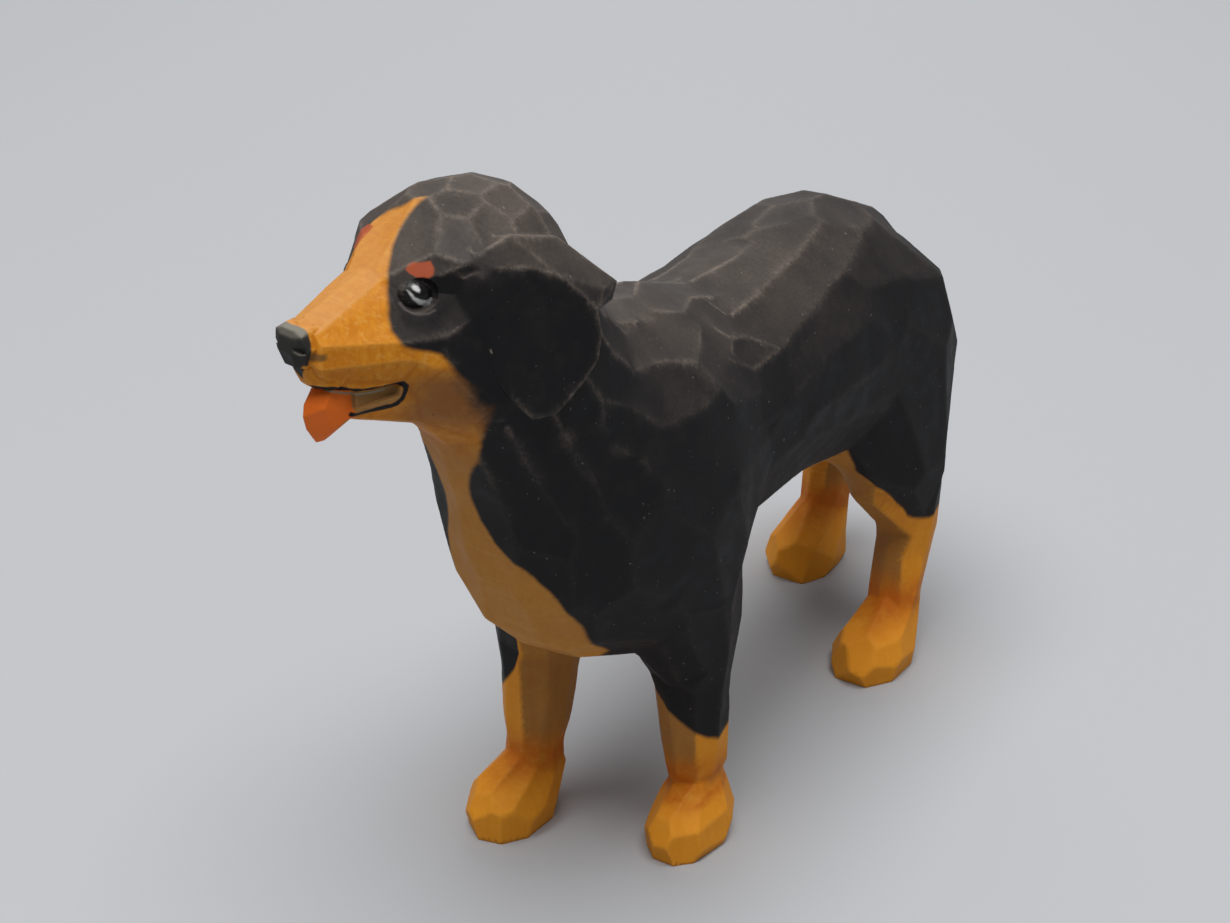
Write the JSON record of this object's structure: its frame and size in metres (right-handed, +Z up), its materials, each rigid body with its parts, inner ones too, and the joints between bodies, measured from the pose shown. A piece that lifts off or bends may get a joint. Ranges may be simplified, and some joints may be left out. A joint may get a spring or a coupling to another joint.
{
  "type": "carved wooden dog figurine",
  "caption": "Small standing dog whittled from one block of wood and painted, with hanging ears, the tongue out, a drooping tail and the head turned a little aside.",
  "frame": {"origin": "on the ground, under the middle of the dog's bounding box", "axes": "+Z up, +Y towards the tail, so the dog looks along -Y and its left side is +X"},
  "size_m": [0.0312, 0.1168, 0.0853],
  "materials": {
    "painted_wood": "matte black paint with ochre markings over carved wood"
  },
  "bodies": {
    "root": {"carved_dog": "painted_wood"}
  },
  "joints": []
}
